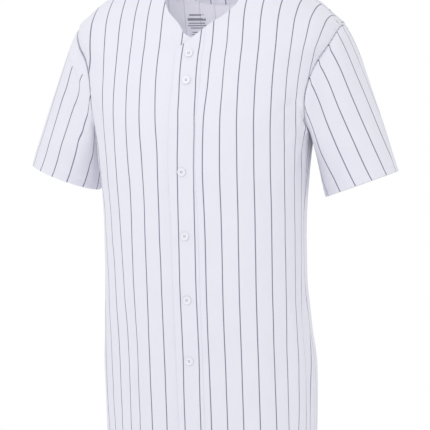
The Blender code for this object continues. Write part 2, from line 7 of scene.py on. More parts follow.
import bmesh
import bpy
import numpy as np
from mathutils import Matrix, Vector


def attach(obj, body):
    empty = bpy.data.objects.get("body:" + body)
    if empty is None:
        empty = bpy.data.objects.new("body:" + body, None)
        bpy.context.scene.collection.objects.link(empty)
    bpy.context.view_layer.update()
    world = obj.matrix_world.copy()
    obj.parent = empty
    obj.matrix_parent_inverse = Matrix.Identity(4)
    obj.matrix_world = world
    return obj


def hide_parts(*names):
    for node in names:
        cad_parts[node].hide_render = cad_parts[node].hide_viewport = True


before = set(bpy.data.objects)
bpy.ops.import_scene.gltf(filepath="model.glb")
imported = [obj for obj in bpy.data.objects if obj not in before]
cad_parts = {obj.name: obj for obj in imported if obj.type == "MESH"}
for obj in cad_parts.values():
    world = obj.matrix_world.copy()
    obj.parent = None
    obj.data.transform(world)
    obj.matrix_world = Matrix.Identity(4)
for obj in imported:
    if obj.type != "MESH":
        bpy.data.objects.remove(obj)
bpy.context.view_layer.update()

# Lengths and heights
HEM_SIDE_Z = -0.806
HEM_CENTRE_Z = -0.832
UNDERARM_Z = -0.262
YOKE_Z = -0.15
TORSO_SQUARE = 2.6
SIDE_U = 0.257

# Cloth
WALL = 0.0016
SEAM_GAP = 0.0003
LAYER_OUT = 0.0013
LAYER_FADE_START = 0.0235
LAYER_FADE_END = 0.045

# Neck and button placket
PLACKET_HALF = 0.0235
NECK_HALF = 0.078
BACK_NECK_DROP = 0.022
BACK_NECK_POWER = 3.0
UNDERLAP_SLOPE = 0.8
FACING_WALL = 0.0012
FACING_SHARE = 0.42
SHOULDER_U = 0.245

# Sleeves
SLEEVE_HALF_GIRTH = 0.2
CUFF_HALF_WIDTH = 0.066
CUFF_HALF_DEPTH = 0.054
UNDERARM_CLEAR = 0.003

# Which way the sleeve leaves the armhole, out and down the arm, at its top line and at the underarm
LEAVE_OUT_TOP = 0.5
LEAVE_OUT_UNDER = 0.32
LEAVE_DOWN_TOP = 0.7
LEAVE_DOWN_UNDER = 0.9
LEAVE_PULL = 0.34
ARRIVE_PULL = 0.9

# Grid of each piece, finer than the solids'
SIDE_ROWS = 100
ARMHOLE_ROWS = 70
NECK_ROWS = 40
FRONT_COLUMNS = 84
BACK_COLUMNS = 130
PLACKET_COLUMNS = 24
SLEEVE_ROWS = 96
FACING_ROWS = 5
ROWS = SIDE_ROWS + ARMHOLE_ROWS
LABEL_X = -0.049
LABEL_TOP = -0.061


def columns(kind, *rows):
    """A table whose rows have the kind's named columns."""
    return [kind(*row) for row in rows]


Section = namedtuple("Section", "z half_width front back centre_y")
TORSO = columns(
    Section,
    (-0.84, 0.187, 0.108, 0.118, 0.016),
    (-0.76, 0.1875, 0.1115, 0.119, 0.013),
    (-0.68, 0.187, 0.115, 0.118, 0.0075),
    (-0.6, 0.1812, 0.1135, 0.112, -0.004),
    (-0.5, 0.1765, 0.1105, 0.108, -0.018),
    (-0.42, 0.1762, 0.1135, 0.109, -0.0225),
    (-0.34, 0.1795, 0.1225, 0.114, -0.0225),
    (-0.262, 0.188, 0.1305, 0.118, -0.02),
    (-0.205, 0.203, 0.14, 0.113, -0.007),
    (-0.17, 0.209, 0.1425, 0.106, 0.002),
    (-0.14, 0.219, 0.14, 0.098, 0.0095),
    (-0.117, 0.234, 0.1345, 0.089, 0.015),
    (-0.099, 0.238, 0.1305, 0.079, 0.0175),
    (-0.084, 0.236, 0.126, 0.071, 0.019),
    (-0.0635, 0.215, 0.1165, 0.065, 0.019),
    (-0.044, 0.1905, 0.103, 0.06, 0.019),
    (-0.0245, 0.1555, 0.088, 0.0555, 0.016),
    (-0.01, 0.1205, 0.073, 0.052, 0.01),
    (0.0, 0.0785, 0.06, 0.05, 0.004),
    (0.012, 0.0105, 0.044, 0.045, 0.0),
)

ShoulderPoint = namedtuple("ShoulderPoint", "u x z")
SHOULDER = columns(
    ShoulderPoint,
    (0.0, 0.0, 0.012),
    (0.04, 0.04, 0.008),
    (0.078, 0.078, 0.0),
    (0.119, 0.12, -0.01),
    (0.153, 0.155, -0.0245),
    (0.189, 0.19, -0.044),
    (0.217, 0.2145, -0.0635),
    (0.245, 0.2355, -0.084),
)

# The neck opening sits a little towards the wearer's left
NeckPoint = namedtuple("NeckPoint", "z left_x right_x")
NECKLINE = columns(
    NeckPoint,
    (-0.1065, 0.0, 0.0),
    (-0.098, 0.0105, 0.015),
    (-0.09, 0.02, 0.021),
    (-0.077, 0.0365, 0.03),
    (-0.063, 0.059, 0.0405),
    (-0.043, 0.075, 0.053),
    (-0.02, 0.0775, 0.0675),
    (0.0, 0.078, 0.078),
)

# How far the upper end of the placket leans to the wearer's left
Lean = namedtuple("Lean", "z shift")
LEANS = columns(
    Lean,
    (-0.44, 0.0),
    (-0.33, -0.0018),
    (-0.24, 0.001),
    (-0.1765, 0.0055),
    (-0.133, 0.0052),
    (-0.1, 0.0058),
    (-0.05, 0.006),
    (0.012, 0.0),
)
LEAN_RIGHT_END = -0.042
LEAN_RIGHT_FULL = -0.024
LEAN_LEFT_FULL = 0.035
LEAN_LEFT_END = 0.09

ArmholePoint = namedtuple("ArmholePoint", "z front_x back_x")
ARMHOLE = columns(
    ArmholePoint,
    (-0.262, 0.188, 0.188),
    (-0.25, 0.1875, 0.1875),
    (-0.231, 0.188, 0.189),
    (-0.2, 0.19, 0.193),
    (-0.17, 0.196, 0.199),
    (-0.14, 0.208, 0.2085),
    (-0.117, 0.2225, 0.22),
    (-0.098, 0.231, 0.2305),
    (-0.084, 0.2355, 0.2355),
)

# How far round the sleeve (0 top line, 1 underarm) a point of the armhole lies
CapPoint = namedtuple("CapPoint", "along round")
SLEEVE_CAP = columns(
    CapPoint,
    (0.0, 0.0),
    (0.15, 0.18),
    (0.35, 0.41),
    (0.55, 0.6),
    (0.75, 0.77),
    (1.0, 1.0),
)

# Cuff centre, and how far the sleeve leans out from straight down
Cuff = namedtuple("Cuff", "x y z lean")
CUFFS = {
    "left": Cuff(0.2685, 0.02, -0.3545, math.radians(20.5)),
    "right": Cuff(-0.2745, 0.02, -0.3515, math.radians(19.5)),
}

# Broad folds, as lines over the pattern: where they run, half width and how far they stand out
Fold = namedtuple("Fold", "panel u0 z0 u1 z1 width height")
BROAD_FOLDS = columns(
    Fold,
    ("front", 0.205, -0.52, 0.215, -0.83, 0.02, 0.003),
    ("front", 0.17, -0.56, 0.172, -0.84, 0.018, -0.0022),
    ("front", -0.16, -0.48, -0.15, -0.83, 0.022, 0.003),
    ("front", -0.115, -0.52, -0.11, -0.84, 0.02, -0.0025),
    ("front", 0.11, -0.6, 0.105, -0.84, 0.026, 0.0018),
    ("back", -0.15, -0.33, -0.12, -0.83, 0.03, 0.0035),
    ("back", 0.14, -0.3, 0.12, -0.83, 0.03, 0.0035),
    ("back", 0.02, -0.4, 0.01, -0.84, 0.034, -0.003),
    ("back", -0.07, -0.48, -0.065, -0.84, 0.026, -0.002),
    ("back", 0.07, -0.47, 0.075, -0.84, 0.026, 0.002),
    ("back", -0.12, -0.18, 0.12, -0.19, 0.024, 0.002),
)


def smooth(rows, by, what, x):
    """Monotone cubic through the named columns of a table."""
    xs = np.array([getattr(row, by) for row in rows])
    ys = np.array([getattr(row, what) for row in rows])
    gaps = np.diff(xs)
    rise = np.diff(ys) / gaps
    slope = np.zeros(len(xs))
    slope[0] = rise[0]
    slope[-1] = rise[-1]
    for i in range(1, len(xs) - 1):
        if rise[i - 1] * rise[i] > 0:
            before = 2 * gaps[i] + gaps[i - 1]
            after = gaps[i] + 2 * gaps[i - 1]
            slope[i] = (before + after) / (before / rise[i - 1] + after / rise[i])
    i = np.clip(np.searchsorted(xs, x) - 1, 0, len(xs) - 2)
    t = np.clip((x - xs[i]) / gaps[i], 0, 1)
    start = (1 + 2 * t) * (1 - t) ** 2 * ys[i] + t * (1 - t) ** 2 * gaps[i] * slope[i]
    end = t * t * (3 - 2 * t) * ys[i + 1] + t * t * (t - 1) * gaps[i] * slope[i + 1]
    return start + end


def step(t):
    t = np.clip(t, 0, 1)
    return t * t * (3 - 2 * t)


def section_at(z, back):
    half = smooth(TORSO, "z", "half_width", z)
    depth = smooth(TORSO, "z", "back" if back else "front", z)
    return half, depth, smooth(TORSO, "z", "centre_y", z)


def reach(angle, half, depth):
    """Distance from the section's centre, at an angle from its centre line."""
    across = np.abs(np.sin(angle) / half) ** TORSO_SQUARE
    along = np.abs(np.cos(angle) / depth) ** TORSO_SQUARE
    return (across + along) ** (-1 / TORSO_SQUARE)


ARC_STEPS = 72
ARC_END = 0.56 * math.pi


def arc_table(half, depth):
    angles = np.linspace(0, ARC_END, ARC_STEPS)
    r = reach(angles[None, :], half[:, None], depth[:, None])
    x = r * np.sin(angles)
    y = r * np.cos(angles)
    parts = np.hypot(np.diff(x), np.diff(y))
    return angles, np.concatenate([np.zeros((len(half), 1)), np.cumsum(parts, 1)], 1)


def x_on_section(u, z, back):
    """X of the cloth u metres round the section from the centre line."""
    u, z = np.broadcast_arrays(np.asarray(u, float), np.asarray(z, float))
    flat_u = u.ravel()
    half, depth, _ = section_at(z.ravel(), back)
    angles, run = arc_table(half, depth)
    k = np.clip((run < flat_u[:, None]).sum(1) - 1, 0, ARC_STEPS - 2)
    i = np.arange(len(flat_u))
    part = (flat_u - run[i, k]) / (run[i, k + 1] - run[i, k])
    angle = angles[k] + part * (angles[1] - angles[0])
    angle = np.minimum(angle, math.pi / 2)
    return (reach(angle, half, depth) * np.sin(angle)).reshape(u.shape)


def side_u(z, back):
    """Distance from the centre line to the side seam at height z."""
    z = np.atleast_1d(np.asarray(z, float))
    half, depth, _ = section_at(z, back)
    angles = np.linspace(0, math.pi / 2, 200)
    r = reach(angles[None, :], half[:, None], depth[:, None])
    return np.hypot(np.diff(r * np.sin(angles)), np.diff(r * np.cos(angles))).sum(1)


def hem_z(u):
    part = np.clip(np.abs(u) / SIDE_U, 0, 1) ** 2
    return HEM_CENTRE_Z + (HEM_SIDE_Z - HEM_CENTRE_Z) * part


def height(u, v):
    """Level v runs 0 at the hem, 1 at the yoke line, 2 at the shoulder seam."""
    low = hem_z(u) + (YOKE_Z - hem_z(u)) * np.clip(v, 0, 1)
    top = smooth(SHOULDER, "u", "z", np.abs(u))
    rise = np.sin(math.pi / 2 * np.clip(v - 1, 0, 1))
    return np.where(v <= 1, low, YOKE_Z + (top - YOKE_Z) * rise)


def level(u, z):
    low = (z - hem_z(u)) / (YOKE_Z - hem_z(u))
    top = smooth(SHOULDER, "u", "z", np.abs(u))
    high = 1 + np.arcsin(np.clip((z - YOKE_Z) / (top - YOKE_Z), 0, 1)) * 2 / math.pi
    return np.where(z <= YOKE_Z, low, high)


def x_at(u, z, back):
    """X at distance u from the centre line: on the section up to the yoke, then in to the shoulder."""
    w, z = np.broadcast_arrays(np.abs(u), np.asarray(z, float))
    on_section = x_on_section(w, np.minimum(z, YOKE_Z), back)
    yoke = np.full(w.shape, YOKE_Z)
    near = 0.004
    x0 = x_on_section(w, yoke, back)
    lean = (x0 - x_on_section(w, yoke - near, back)) / near
    x1 = smooth(SHOULDER, "u", "x", w)
    rise = smooth(SHOULDER, "u", "z", w) - YOKE_Z
    t = np.clip((z - YOKE_Z) / rise, 0, 1)
    x = (1 + 2 * t) * (1 - t) ** 2 * x0 + t * (1 - t) ** 2 * lean * rise
    x = x + t * t * (3 - 2 * t) * x1 + t * t * (t - 1) * (x1 - x0)
    return np.where(z <= YOKE_Z, on_section, x)


def u_at(x, z, back):
    """Distance from the centre line of the cloth found at x and height z."""
    low = np.zeros(np.shape(x))
    high = np.full(np.shape(x), 0.29)
    for _ in range(40):
        middle = (low + high) / 2
        past = x_at(middle, z, back) > x
        high = np.where(past, middle, high)
        low = np.where(past, low, middle)
    return (low + high) / 2


def leaning(u, v, sign):
    """How far the cloth lies out of the straight near the placket, on the side of the sign."""
    toward_left = u * sign
    right_end = step((toward_left - LEAN_RIGHT_END) / (LEAN_RIGHT_FULL - LEAN_RIGHT_END))
    left_end = 1 - step((toward_left - LEAN_LEFT_FULL) / (LEAN_LEFT_END - LEAN_LEFT_FULL))
    return smooth(LEANS, "z", "shift", height(u, v)) * right_end * left_end * sign


def torso(u, v, back, sign=1):
    """Middle of the torso cloth, before folds."""
    u, v = np.broadcast_arrays(np.asarray(u, float), np.asarray(v, float))
    z = height(u, v)
    if not back:
        u = u + leaning(u, v, sign)
    half, depth, centre_y = section_at(z, back)
    x = np.minimum(x_at(u, z, back), half)
    ratio = np.where(v >= 2, 1.0, np.clip(x / half, 0, 1))
    y = depth * (1 - ratio ** TORSO_SQUARE) ** (1 / TORSO_SQUARE)
    side = np.where(u < 0, -1.0, 1.0)
    return np.stack([side * x, centre_y + (y if back else -y), z], -1)


def torso_normal(u, v, back, sign=1):
    du = 0.0005
    dv = 0.004
    along = torso(u + du, v, back, sign) - torso(u - du, v, back, sign)
    up = torso(u, np.minimum(v + dv, 2), back, sign) - torso(u, v - dv, back, sign)
    normal = np.cross(up, along) if back else np.cross(along, up)
    return normal / np.linalg.norm(normal, axis=-1, keepdims=True)


def swell(u, z, back):
    """How far the broad folds stand out from the smooth form, negative in a trough."""
    total = np.zeros(np.shape(u))
    for fold in BROAD_FOLDS:
        if (fold.panel == "back") != back:
            continue
        run = np.array([fold.u1 - fold.u0, fold.z1 - fold.z0])
        size = np.hypot(*run)
        along = ((u - fold.u0) * run[0] + (z - fold.z0) * run[1]) / size ** 2
        aside = ((u - fold.u0) * run[1] - (z - fold.z0) * run[0]) / size
        ends = np.exp(-4.0 * np.clip(np.abs(along - 0.5) - 0.2, 0, None) ** 2 / 0.09)
        total = total + fold.height * ends * np.exp(-((aside / fold.width) ** 2))
    return total


def cloth(u, v, back, sign=1):
    """Middle of the torso cloth with its broad folds, and its outward normal; sign -1 is the right."""
    normal = torso_normal(u, v, back, sign)
    points = torso(u, v, back, sign)
    points = points + normal * swell(u * sign, height(u, v), back)[..., None]
    return points, normal


def evenly(points, count):
    """Fractional places that split a dense line into equal lengths."""
    run = np.concatenate([[0], np.cumsum(np.linalg.norm(np.diff(points, axis=0), axis=1))])
    return np.interp(np.linspace(0, run[-1], count + 1), run, np.arange(len(points)))


def spread(values, places):
    return np.interp(places, np.arange(len(values)), values)


DENSE = 700


def armhole_line(back):
    """(u, v) of the armhole seam from the underarm to the shoulder tip."""
    z = np.linspace(UNDERARM_Z, ARMHOLE[-1].z, DENSE)
    u = u_at(smooth(ARMHOLE, "z", "back_x" if back else "front_x", z), z, back)
    u[0] = side_u(UNDERARM_Z, back)[0]
    u[-1] = SHOULDER_U
    v = level(u, z)
    v[-1] = 2.0
    places = evenly(torso(u, v, back), ARMHOLE_ROWS)
    return spread(u, places), spread(v, places)


def from_hem(count):
    """Shares of the way up, closer together at the hem."""
    t = np.linspace(0, 1, count + 1)
    return t * (0.35 + 0.65 * t)


def side_line(back):
    """(u, v) of the side seam from the hem to just under the armhole."""
    z = HEM_SIDE_Z + (UNDERARM_Z - HEM_SIDE_Z) * from_hem(SIDE_ROWS)[:-1]
    u = side_u(z, back)
    return u, level(u, z)


def outer_edge(back):
    """Points of the side seam, and (u, v) up it and the armhole."""
    side, side_v = side_line(back)
    arm_u, arm_v = armhole_line(back)
    z = np.concatenate([height(side, side_v), [UNDERARM_Z]])
    return side_points(z), np.concatenate([side, arm_u]), np.concatenate([side_v, arm_v])


def side_points(z):
    half, _, centre_y = section_at(z, False)
    return np.stack([half, centre_y, z], -1)


def neck_line(start_u, sign=1):
    """(u, v) of the front neckline from the centre edge at start_u up to the shoulder."""
    z = np.linspace(NECKLINE[0].z, 0, DENSE)
    u = u_at(smooth(NECKLINE, "z", "left_x" if sign > 0 else "right_x", z), z, False)
    if start_u < 0:
        under = np.linspace(start_u, 0, 100)[:-1]
        u = np.concatenate([under, u])
        z = np.concatenate([NECKLINE[0].z + UNDERLAP_SLOPE * under, z])
    else:
        z = np.concatenate([[np.interp(start_u, u, z)], z[u > start_u]])
        u = np.concatenate([[start_u], u[u > start_u]])
    v = level(u, z)
    v[-1] = 2.0
    u[-1] = NECK_HALF
    places = evenly(torso(u, v, False, sign), NECK_ROWS)
    return spread(u, places), spread(v, places)


def pulled_in(points, row=None, column=None):
    """One edge of a grid moved inwards by half the seam gap."""
    points = points.copy()
    lines = points if column is None else points.swapaxes(0, 1)
    edge = row if column is None else column
    inward = lines[1 if edge == 0 else -2] - lines[edge]
    lines[edge] += inward / np.linalg.norm(inward, axis=-1, keepdims=True) * SEAM_GAP / 2
    return points


def layer_shift(u):
    """1 where the two fronts lie on each other, fading to 0 beside the placket."""
    return 1 - step((u - LAYER_FADE_START) / (LAYER_FADE_END - LAYER_FADE_START))


def front_grid(start_u, out, sign=1):
    """A front as worn on the left: rows up, columns from the centre out, its normals, u and z."""
    neck_u, neck_v = neck_line(start_u, sign)
    low = from_hem(ROWS - NECK_ROWS)[:-1] * neck_v[0]
    left_u = np.concatenate([np.full(len(low), start_u), neck_u])
    left_v = np.concatenate([low, neck_v])
    seam, right_u, right_v = outer_edge(False)
    part = np.linspace(0, 1, FRONT_COLUMNS + 1)
    u = left_u[:, None] + (right_u - left_u)[:, None] * part
    v = left_v[:, None] + (right_v - left_v)[:, None] * part
    points, normals = cloth(u, v, False, sign)
    points[: SIDE_ROWS + 1, -1] = seam
    points = points + normals * (out * layer_shift(u))[..., None]
    points = pulled_in(points, column=-1)
    points = pulled_in(points, row=-1)
    if start_u > 0:
        points = pulled_in(points, column=0)
    return points, normals, u, height(u, v)


def placket_grid():
    u = np.linspace(-PLACKET_HALF, PLACKET_HALF, PLACKET_COLUMNS + 1)
    neck_u, neck_v = neck_line(-PLACKET_HALF)
    top = height(u, np.interp(u, neck_u, neck_v))
    part = from_hem(ROWS - NECK_ROWS)[:, None]
    z = hem_z(u) + (top - hem_z(u)) * part
    u = np.broadcast_to(u, z.shape)
    v = level(u, z)
    points, normals = cloth(u, v, False)
    points = points + normals * LAYER_OUT
    return pulled_in(points, column=-1), normals, u, height(u, v)


def back_grid():
    seam, edge_u, edge_v = outer_edge(True)
    part = np.linspace(-1, 1, BACK_COLUMNS + 1)
    neck = np.abs(part) * SHOULDER_U < NECK_HALF
    top_u = part * SHOULDER_U
    drop = BACK_NECK_DROP * (1 - np.clip(np.abs(top_u) / NECK_HALF, 0, 1) ** BACK_NECK_POWER)
    top_v = np.where(neck, level(top_u, -drop), 2.0)
    u = edge_u[:, None] * part
    rows = np.linspace(0, 1, ROWS + 1)[:, None]
    v = edge_v[:, None] + (top_v - 2)[None, :] * step(rows) ** 2
    points, normals = cloth(u, v, True)
    points[: SIDE_ROWS + 1, -1] = seam
    points[: SIDE_ROWS + 1, 0] = seam * [-1, 1, 1]
    points = pulled_in(points, column=-1)
    points = pulled_in(points, column=0)
    points = pulled_in(points, row=-1)
    # One more row, where the facing ends. At the armholes it lies straight between its neighbours
    low_v = v[-2] + (v[-1] - v[-2]) * FACING_SHARE
    low_u = u[-2] + (u[-1] - u[-2]) * FACING_SHARE
    on_cloth, low_normals = cloth(low_u, low_v, True)
    straight = points[-2] + (points[-1] - points[-2]) * FACING_SHARE
    beside = step((np.abs(low_u) - NECK_HALF) / (SHOULDER_U - NECK_HALF))[:, None]
    low = on_cloth + (straight - on_cloth) * beside
    points = np.insert(points, -1, low, axis=0)
    normals = np.insert(normals, -1, low_normals, axis=0)
    u = np.insert(u, -1, low_u, axis=0)
    v = np.insert(v, -1, low_v, axis=0)
    return points, normals, u, height(u, v)


def armhole_loop(side):
    """Armhole points from the underarm up the front and down the back, with their cloth normals."""
    rows = []
    for back in (False, True):
        u, v = armhole_line(back)
        points, normals = cloth(u, v, back)
        points[0] = side_points(np.array(UNDERARM_Z))
        rows.append((points, normals))
    front, back = rows
    points = np.concatenate([front[0], back[0][-2:0:-1]])
    normals = np.concatenate([front[1], back[1][-2:0:-1]])
    normals[0] = front[1][0] + back[1][0]
    normals[ARMHOLE_ROWS] = front[1][-1] + back[1][-1]
    normals = normals / np.linalg.norm(normals, axis=1, keepdims=True)
    mirror = np.array([1.0 if side == "left" else -1.0, 1.0, 1.0])
    return points * mirror, normals * mirror


def sleeve_grid(side):
    """Rows from the armhole to the cuff, columns round from the underarm by the front, not closed."""
    sign = 1.0 if side == "left" else -1.0
    start, normals = armhole_loop(side)
    # Share of the way round from the top line: 0 at the tip, 1 at the underarm
    ahead = np.roll(start, -1, axis=0)
    run = np.concatenate([[0], np.cumsum(np.linalg.norm(ahead - start, axis=1))])
    tip = run[ARMHOLE_ROWS]
    front = np.arange(len(start)) <= ARMHOLE_ROWS
    along = np.where(front, 1 - run[:-1] / tip, (run[:-1] - tip) / (run[-1] - tip))
    rounded = smooth(SLEEVE_CAP, "along", "round", along)
    cuff = CUFFS[side]
    outward = np.array([math.cos(cuff.lean) * sign, 0, math.sin(cuff.lean)])
    axis = np.array([math.sin(cuff.lean) * sign, 0, -math.cos(cuff.lean)])
    angle = cuff_angle(rounded) * np.where(front, -1, 1)
    end = np.array([cuff.x, cuff.y, cuff.z]) + np.outer(np.cos(angle) * CUFF_HALF_WIDTH, outward)
    end = end + np.outer(np.sin(angle) * CUFF_HALF_DEPTH, [0, 1, 0])
    # Leaves the armhole on the slope of the shoulder, and more down the arm at the underarm
    under = step((along - 0.35) / 0.6)[:, None]
    out = LEAVE_OUT_TOP + (LEAVE_OUT_UNDER - LEAVE_OUT_TOP) * under
    down = LEAVE_DOWN_TOP + (LEAVE_DOWN_UNDER - LEAVE_DOWN_TOP) * under
    leave = np.array([sign, 0, 0]) * out + axis * down
    leave = leave / np.linalg.norm(leave, axis=1, keepdims=True)
    facing = np.clip((leave * normals).sum(1), 0, 1)[:, None]
    begin = start + leave * (SEAM_GAP + UNDERARM_CLEAR * facing)
    reach_out = np.linalg.norm(end - begin, axis=1, keepdims=True)
    t = (1 - from_hem(SLEEVE_ROWS))[::-1, None, None]
    grid = (1 + 2 * t) * (1 - t) ** 2 * begin + t * (1 - t) ** 2 * reach_out * leave * LEAVE_PULL
    return grid + t * t * (3 - 2 * t) * end + t * t * (t - 1) * reach_out * axis * ARRIVE_PULL


def cuff_angle(share):
    """Angle round the cuff's ellipse at a share of the way from its top to its underside."""
    angles = np.linspace(0, math.pi, 181)
    x = np.cos(angles) * CUFF_HALF_WIDTH
    y = np.sin(angles) * CUFF_HALF_DEPTH
    run = np.concatenate([[0], np.cumsum(np.hypot(np.diff(x), np.diff(y)))])
    return np.interp(share, run / run[-1], angles)


def tube_normals(grid):
    along = np.gradient(grid, axis=0)
    around = np.roll(grid, -1, axis=1) - np.roll(grid, 1, axis=1)
    normals = np.cross(along, around)
    normals = normals / np.linalg.norm(normals, axis=-1, keepdims=True)
    centre = grid.mean(axis=1, keepdims=True)
    if ((grid - centre) * normals).sum() < 0:
        normals = -normals
    return normals


# Creases finer than the solids', as bent lines over each piece's pattern
Crease = namedtuple("Crease", "u0 z0 u1 z1 bend width height")
CREASES = {
    "front": columns(
        Crease,
        (0.206, -0.205, 0.15, -0.25, 0.006, 0.007, -0.0016),
        (0.214, -0.222, 0.168, -0.3, -0.008, 0.009, 0.002),
        (0.232, -0.262, 0.196, -0.36, -0.006, 0.008, -0.0018),
        (0.2, -0.208, 0.246, -0.244, 0.004, 0.005, 0.0036),
        (0.206, -0.222, 0.248, -0.258, 0.005, 0.0045, -0.004),
        (0.216, -0.246, 0.25, -0.276, 0.004, 0.005, 0.003),
        (0.246, -0.47, 0.242, -0.8, 0.004, 0.008, 0.003),
        (0.222, -0.52, 0.224, -0.82, 0.003, 0.01, -0.0042),
        (0.122, -0.676, 0.186, -0.679, 0.001, 0.003, -0.0007),
        (0.186, -0.5, 0.192, -0.83, 0.003, 0.01, 0.0016),
        (0.15, -0.56, 0.147, -0.835, -0.003, 0.012, -0.0012),
        (0.075, -0.56, 0.07, -0.84, 0.004, 0.015, -0.0012),
        (-0.212, -0.2, -0.16, -0.262, -0.006, 0.008, -0.0014),
        (-0.226, -0.25, -0.186, -0.34, 0.006, 0.009, 0.0016),
        (-0.23, -0.43, -0.224, -0.8, -0.004, 0.01, -0.0018),
        (-0.19, -0.54, -0.182, -0.835, 0.004, 0.012, 0.0016),
        (-0.085, -0.52, -0.083, -0.838, -0.003, 0.014, 0.0013),
    ),
    "back": columns(
        Crease,
        (0.212, -0.19, 0.13, -0.235, 0.008, 0.009, 0.0016),
        (0.222, -0.225, 0.15, -0.32, -0.01, 0.01, -0.0018),
        (-0.212, -0.195, -0.14, -0.24, -0.008, 0.009, 0.0015),
        (-0.224, -0.232, -0.16, -0.33, 0.01, 0.01, -0.0018),
        (0.165, -0.43, 0.15, -0.83, 0.008, 0.014, -0.002),
        (0.05, -0.42, 0.042, -0.835, -0.008, 0.015, 0.0018),
        (-0.03, -0.45, -0.028, -0.838, 0.006, 0.013, 0.0016),
        (-0.175, -0.43, -0.16, -0.83, -0.008, 0.014, -0.002),
        (0.232, -0.42, 0.222, -0.8, 0.006, 0.01, 0.0018),
        (-0.232, -0.44, -0.226, -0.8, -0.004, 0.01, 0.0018),
    ),
    "sleeve_left": columns(
        Crease,
        (0.15, 0.05, 0.04, 0.2, 0.01, 0.012, 0.0016),
        (0.18, 0.04, 0.11, 0.23, -0.008, 0.01, -0.0018),
        (-0.15, 0.05, -0.05, 0.21, -0.01, 0.012, 0.0018),
        (-0.178, 0.045, -0.12, 0.24, 0.008, 0.01, -0.0018),
    ),
    "sleeve_right": columns(
        Crease,
        (0.15, 0.05, 0.05, 0.21, 0.008, 0.013, 0.0016),
        (0.18, 0.04, 0.12, 0.22, -0.008, 0.01, -0.0016),
        (0.05, 0.024, 0.116, 0.03, 0.004, 0.006, 0.0024),
        (-0.15, 0.05, -0.06, 0.21, -0.01, 0.012, 0.0018),
        (-0.176, 0.045, -0.11, 0.24, 0.008, 0.01, -0.0018),
    ),
}

SEAM_FADE = 0.011
SEAM_WIDTH = 0.003
SEAM_DEPTH = 0.0006
# Painted shade along the seams: how far from a seam it reaches and how dark it gets
SEAM_SHADE = 0.0013
PAINTED_SEAM_SHADE_STRENGTH = 0.4
HEM_LINE = 0.02
CUFF_LINE = 0.0095


def creased(panel, u, z):
    total = np.zeros(np.shape(u))
    for crease in CREASES[panel]:
        run = np.array([crease.u1 - crease.u0, crease.z1 - crease.z0])
        size = np.hypot(*run)
        along = ((u - crease.u0) * run[0] + (z - crease.z0) * run[1]) / size ** 2
        aside = ((u - crease.u0) * run[1] - (z - crease.z0) * run[0]) / size
        aside = aside - crease.bend * 4 * along * (1 - along)
        ends = step(along / 0.3) * step((1 - along) / 0.3)
        total = total + crease.height * ends * np.exp(-((aside / crease.width) ** 2))
    return total


def rippled(u, z, seed):
    """Low, uneven swells, longer up and down than across."""
    random = np.random.default_rng(seed)
    total = np.zeros(np.shape(u))
    for size, strength in ((0.15, 0.00045), (0.07, 0.00028), (0.034, 0.0001)):
        for _ in range(4):
            lean = random.normal(0, 0.45)
            phase = random.uniform(0, 2 * math.pi)
            wave = (u * math.cos(lean) + z * 0.6 * math.sin(lean)) / (size * random.uniform(0.8, 1.25))
            total = total + strength * np.sin(2 * math.pi * wave + phase)
    return total


def puckered(run, away, seed):
    """The groove of a seam and the small gathers beside it, from the run along it and the distance away."""
    random = np.random.default_rng(seed)
    gathers = np.zeros(np.shape(run))
    for _ in range(4):
        size = random.uniform(0.011, 0.024)
        gathers = gathers + np.sin(2 * math.pi * run / size + random.uniform(0, 2 * math.pi))
    beside = np.exp(-(((away - 0.006) / 0.005) ** 2))
    return -SEAM_DEPTH * np.exp(-((away / SEAM_WIDTH) ** 2)) + 0.0001 * beside * gathers


def stitched(away, line, depth=0.00035):
    """The dent of a row of stitches at a distance from an edge, and the fullness of the hem below it."""
    dent = -depth * np.exp(-(((away - line) / 0.0016) ** 2))
    roll = 0.00025 * np.exp(-(((away - line / 2) / (line / 3)) ** 2))
    return dent + roll


def run_of(points, axis):
    """Distance along a grid from its first row or column."""
    lengths = np.linalg.norm(np.diff(points, axis=axis), axis=-1)
    first = np.zeros_like(np.take(lengths, [0], axis))
    return np.concatenate([first, np.cumsum(lengths, axis)], axis)


def fade(away):
    return step(away / SEAM_FADE)


def closed_seam(z, sign):
    """Added to the distance from the left armhole seam, so the painted seam shade fades out over its upper
    part, where the seam lies closed.
    """
    return SEAM_SHADE * step((z + 0.195) / 0.03) if sign > 0 else 0.0


def dressed_front(start_u, out, sign, seed):
    """Fine front: points, normals, distance across, height, distance along and distance from its seams."""
    points, normals, u, z = front_grid(start_u, out, sign)
    across = run_of(points, 1)
    up = run_of(points, 0)
    to_side = across[:, -1:] - across
    to_top = up[-1:] - up
    form = creased("front", u * sign, z) + rippled(u * sign, z, 11)
    form = form * fade(to_side) * fade(to_top) * (1 - layer_shift(u))
    form = form + puckered(up, to_side, seed) + puckered(across, to_top, seed + 1)
    form = form + stitched(up, HEM_LINE)
    # Distance from the seams, which sets the painted seam shade
    near = np.minimum(to_side + closed_seam(z, sign), to_top)
    return points + normals * form[..., None], normals, u, z, up, near


def dressed_placket():
    points, normals, u, z = placket_grid()
    up = run_of(points, 0)
    edge = PLACKET_HALF - np.abs(u)
    form = stitched(up, HEM_LINE) - SEAM_DEPTH * np.exp(-((edge / 0.0022) ** 2))
    form = form + 0.00018 * np.sin(up * 2 * math.pi / 0.037 + 3 * u / PLACKET_HALF) * step(edge / 0.004)
    return points + normals * form[..., None], normals, u, z, up


def dressed_back():
    points, normals, u, z = back_grid()
    across = run_of(points, 1)
    up = run_of(points, 0)
    to_side = np.minimum(across[:, -1:] - across, across)
    to_top = up[-1:] - up
    form = creased("back", u, z) + rippled(u, z, 23)
    form = form * fade(to_side) * fade(to_top)
    form = form + puckered(up, to_side, 31) + puckered(across, to_top, 32) * 0.6
    form = form + stitched(up, HEM_LINE)
    return points + normals * form[..., None], normals, u, up, np.minimum(to_side, to_top)


